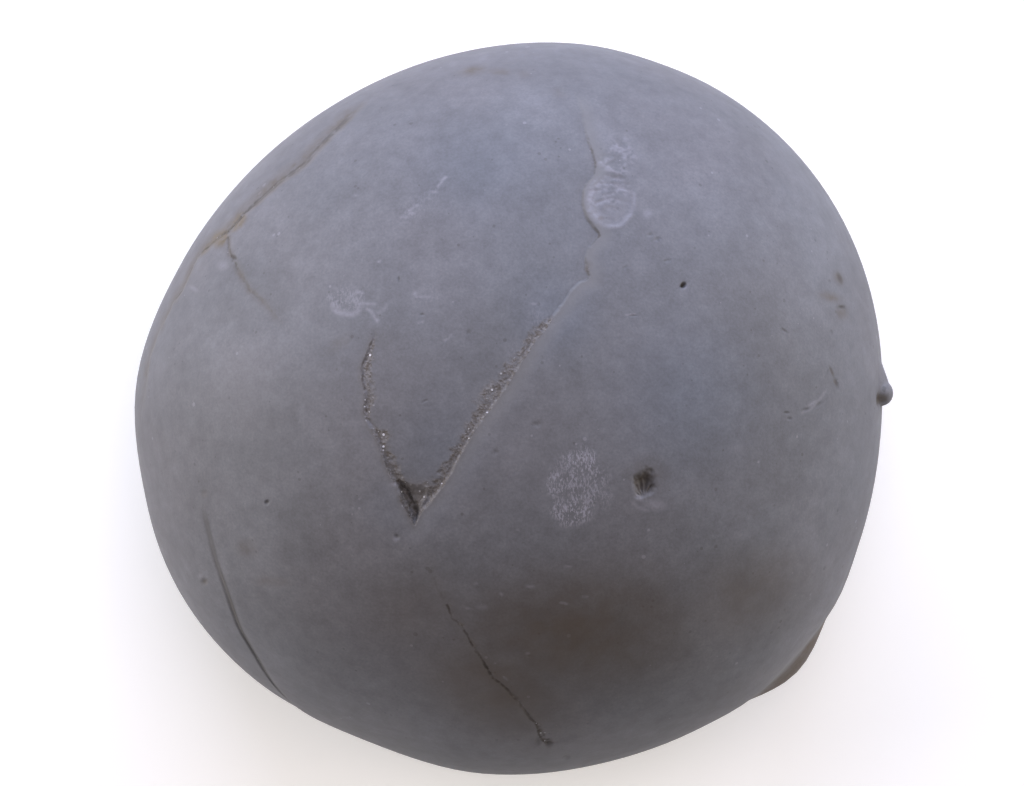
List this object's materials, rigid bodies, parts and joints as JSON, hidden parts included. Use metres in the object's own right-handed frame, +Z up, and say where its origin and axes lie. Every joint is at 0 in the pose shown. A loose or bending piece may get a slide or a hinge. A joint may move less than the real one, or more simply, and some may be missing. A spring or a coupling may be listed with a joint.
{
  "type": "fossil sea urchin",
  "caption": "Domed, beach-worn stone fossil of a sea urchin with open cracks and a sunken wedge, resting on its flat mouth side.",
  "frame": {"origin": "on the resting face, under the middle of the stone's box", "axes": "+Z up out of the dome's top, +X along the longest way across the plan, +Y to the back shoulder"},
  "size_m": [0.0798, 0.077, 0.0491],
  "materials": {
    "worn_grey_stone": "satin, worn smooth"
  },
  "bodies": {
    "root": {"fossil_urchin": "worn_grey_stone"}
  },
  "joints": []
}
